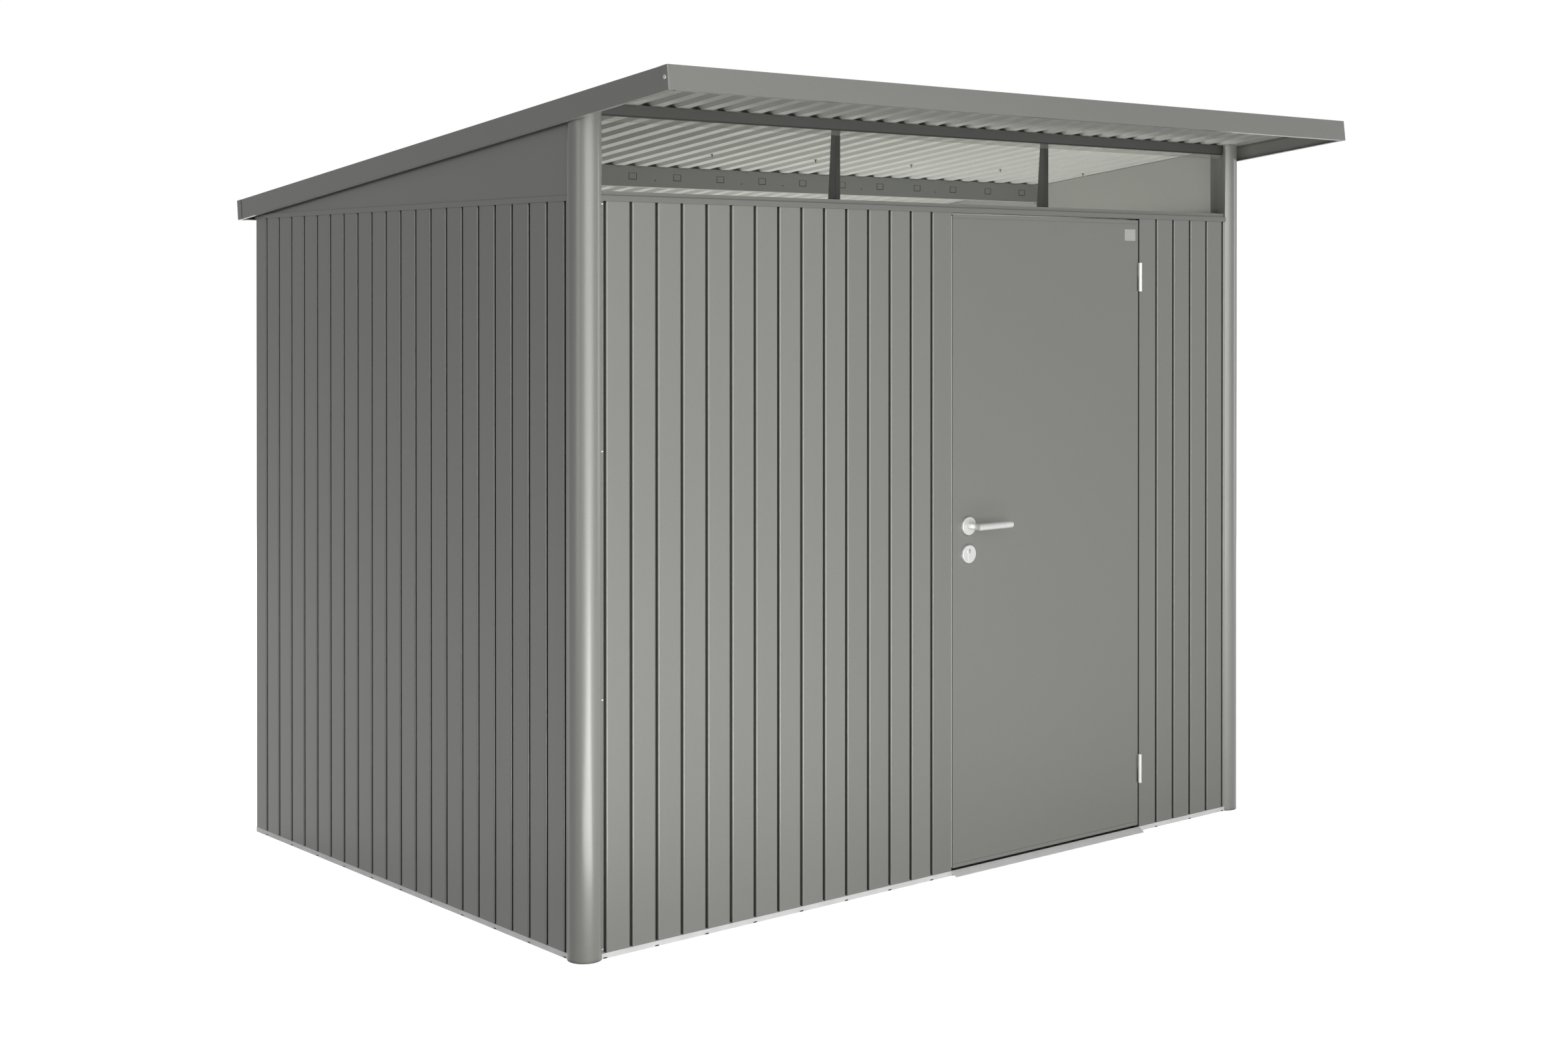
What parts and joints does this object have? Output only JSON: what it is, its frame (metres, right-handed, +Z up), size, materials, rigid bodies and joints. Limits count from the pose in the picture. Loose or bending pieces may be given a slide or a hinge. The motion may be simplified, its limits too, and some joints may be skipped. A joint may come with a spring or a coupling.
{
  "type": "metal storage shed",
  "caption": "Lean-to metal garden shed with ribbed steel walls, round front posts, a glazed strip under a deep front eave and one hinged door with a lever handle.",
  "frame": {"origin": "on the ground under the middle of the roof's plan", "axes": "+X to the right as seen facing the door, +Y from the front to the back, +Z up"},
  "size_m": [2.6, 2.2096, 2.1779],
  "materials": {
    "painted_steel": "satin metallic grey paint on steel sheet",
    "dark_painted_steel": "satin grey paint on folded steel",
    "mill_aluminium": "plain aluminium extrusion",
    "satin_steel": "satin stainless steel",
    "clear_acrylic": "clear acrylic sheet"
  },
  "bodies": {
    "shed": {"front_left_base_rail": "mill_aluminium", "front_right_base_rail": "mill_aluminium", "left_base_rail": "mill_aluminium", "right_base_rail": "mill_aluminium", "back_base_rail": "mill_aluminium", "door_sill": "mill_aluminium", "front_left_post": "painted_steel", "front_right_post": "painted_steel", "rear_left_corner": "painted_steel", "rear_right_corner": "painted_steel", "front_wide_panel": "painted_steel", "front_narrow_panel": "painted_steel", "front_right_panel": "painted_steel", "left_front_panel": "painted_steel", "left_rear_panel": "painted_steel", "right_front_panel": "painted_steel", "right_rear_panel": "painted_steel", "back_left_panel": "painted_steel", "back_middle_panel": "painted_steel", "back_right_panel": "painted_steel", "latch_jamb": "painted_steel", "hinge_jamb": "painted_steel", "front_header_rail": "painted_steel", "left_top_rail": "painted_steel", "right_top_rail": "painted_steel", "back_top_rail": "painted_steel", "left_gable": "painted_steel", "right_gable": "painted_steel", "front_glazing": "clear_acrylic", "glazing_brackets": "dark_painted_steel", "front_roof_beam": "dark_painted_steel", "roof_purlin": "dark_painted_steel", "left_roof_sheet": "painted_steel", "middle_roof_sheet": "painted_steel", "right_roof_sheet": "painted_steel", "front_fascia": "painted_steel", "left_verge_trim": "painted_steel", "right_verge_trim": "painted_steel", "rear_eave_trim": "painted_steel", "hinge_pins": "satin_steel"},
    "door": {"door_leaf": "painted_steel", "hinge_sleeves": "satin_steel", "lock_case": "satin_steel", "rosettes": "satin_steel"},
    "handle": {"lever_handle": "satin_steel", "inner_lever": "satin_steel"}
  },
  "joints": [
    {"name": "door_swing", "type": "hinge", "parent": "shed", "child": "door", "pos_m": [0.796, -0.7167, 0.9], "axis": [0, 0, 1], "range_deg": [0, 110]},
    {"name": "handle_turn", "type": "hinge", "parent": "door", "child": "handle", "pos_m": [0.061, -0.7102, 0.987], "axis": [0, 1, 0], "range_deg": [0, 40], "stiffness_Nm_per_rad": 1.5, "springref_deg": -17.19}
  ]
}
